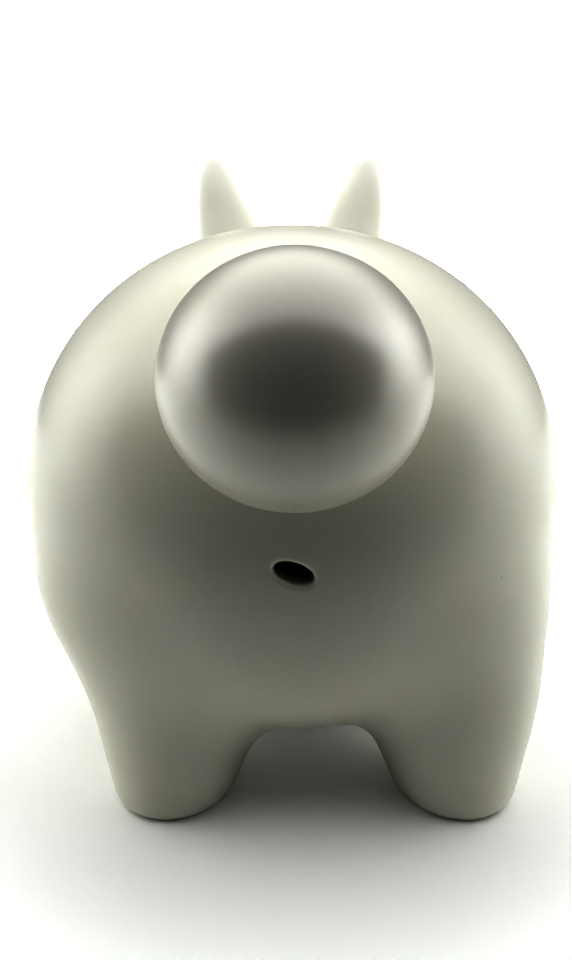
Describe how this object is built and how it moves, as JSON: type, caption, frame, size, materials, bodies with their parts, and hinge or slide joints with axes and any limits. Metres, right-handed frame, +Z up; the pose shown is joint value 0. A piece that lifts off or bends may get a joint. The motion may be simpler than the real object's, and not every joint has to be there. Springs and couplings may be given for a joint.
{
  "type": "figural animal coin bank",
  "caption": "Glazed ceramic coin bank shaped as a standing rabbit with a ball tail, a coin slot in its back and a pull-out plug in its belly.",
  "frame": {"origin": "on the table, under the middle of the whole bank's bounding box", "axes": "+Z up; +Y towards the tail, so the rabbit faces -Y; +X towards the rabbit's left side"},
  "size_m": [0.112, 0.1792, 0.1418],
  "materials": {
    "shell_glaze": "satin-gloss ivory glaze",
    "ear_glaze": "satin-gloss ivory glaze",
    "bead_glaze": "satin-gloss ivory glaze",
    "tail_glaze": "satin-gloss ivory glaze",
    "stopper_rubber": "matte moulded rubber"
  },
  "bodies": {
    "bank": {"body_shell": "shell_glaze", "left_ear": "ear_glaze", "right_ear": "ear_glaze", "left_eye": "bead_glaze", "right_eye": "bead_glaze", "nose_bead": "bead_glaze", "tail_ball": "tail_glaze"},
    "stopper": {"belly_stopper": "stopper_rubber"}
  },
  "joints": [
    {"name": "stopper_pull", "type": "slide", "parent": "bank", "child": "stopper", "axis": [0, 0, -1], "range_m": [0, 0.01]}
  ]
}
